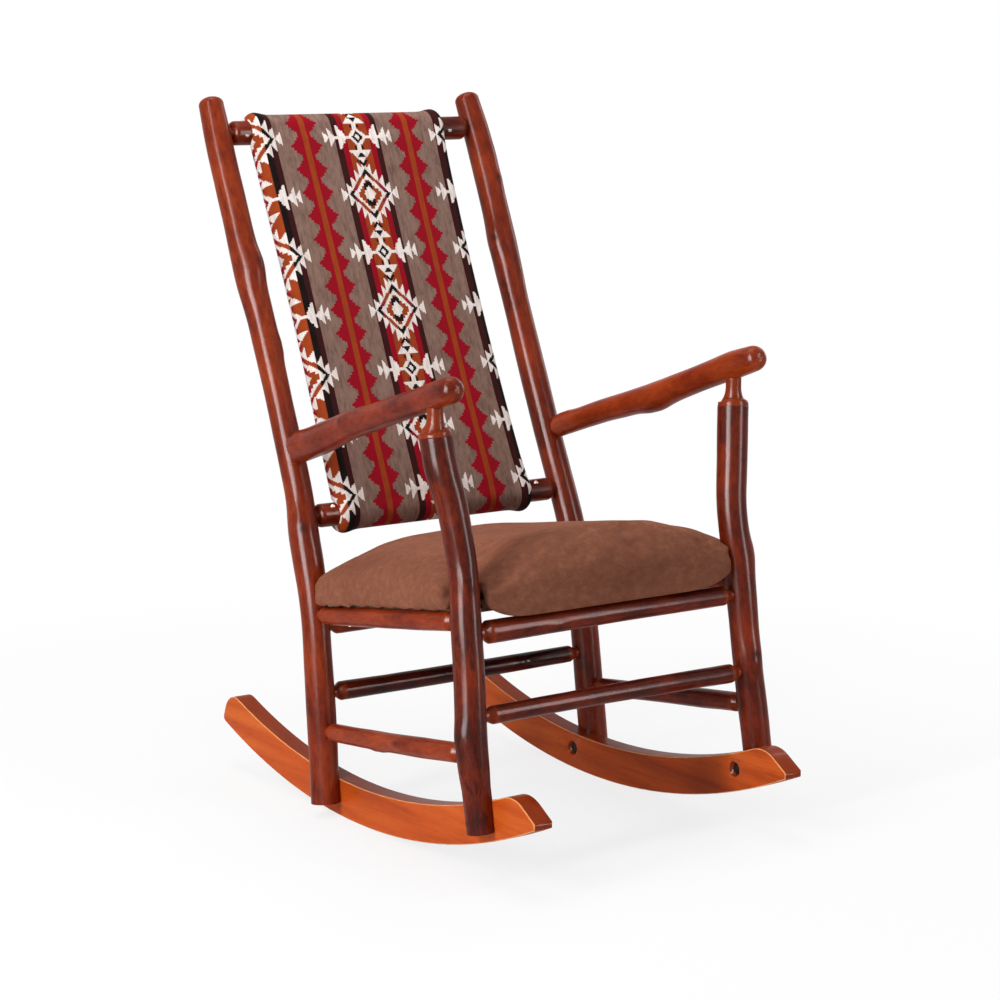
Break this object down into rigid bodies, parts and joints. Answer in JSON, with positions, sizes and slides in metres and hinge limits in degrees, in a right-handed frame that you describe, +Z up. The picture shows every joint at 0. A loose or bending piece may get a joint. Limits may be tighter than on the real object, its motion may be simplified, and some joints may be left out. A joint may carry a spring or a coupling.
{
  "type": "rocking chair",
  "caption": "Rustic hickory-pole rocking chair with a brown suede seat cushion and a woven diamond-patterned upholstered back",
  "frame": {"origin": "On the floor plane Z=0, at the centre of the bounding box in X and Y.", "axes": "+Z up; the chair faces -Y; the sitter's right is -X and left is +X."},
  "size_m": [0.624, 0.9546, 1.156],
  "materials": {
    "hickory": "satin",
    "rocker_wood": "satin",
    "plywood": "matte",
    "seat_cloth": "matte",
    "back_cloth": "matte",
    "lining_cloth": "matte",
    "steel": "satin"
  },
  "bodies": {
    "root": {"front_post_right": "hickory", "front_post_left": "hickory", "back_post_right": "hickory", "back_post_left": "hickory", "arm_right": "hickory", "arm_left": "hickory", "seat_rail_front": "hickory", "seat_rail_back": "hickory", "seat_rail_right": "hickory", "seat_rail_left": "hickory", "stretcher_front": "hickory", "stretcher_back": "hickory", "stretcher_right": "hickory", "stretcher_left": "hickory", "back_rail_bottom": "hickory", "back_rail_top": "hickory", "rocker_right": "rocker_wood", "rocker_left": "rocker_wood", "seat_deck": "plywood", "back_board": "plywood", "seat_pad": "seat_cloth", "back_pad": "back_cloth", "seat_lining": "lining_cloth", "back_lining": "lining_cloth", "rocker_bolts": "steel", "rocker_washers": "steel", "seat_screws": "steel", "back_screws": "steel", "tenon_nails": "steel", "foot_nails": "steel"}
  },
  "joints": []
}
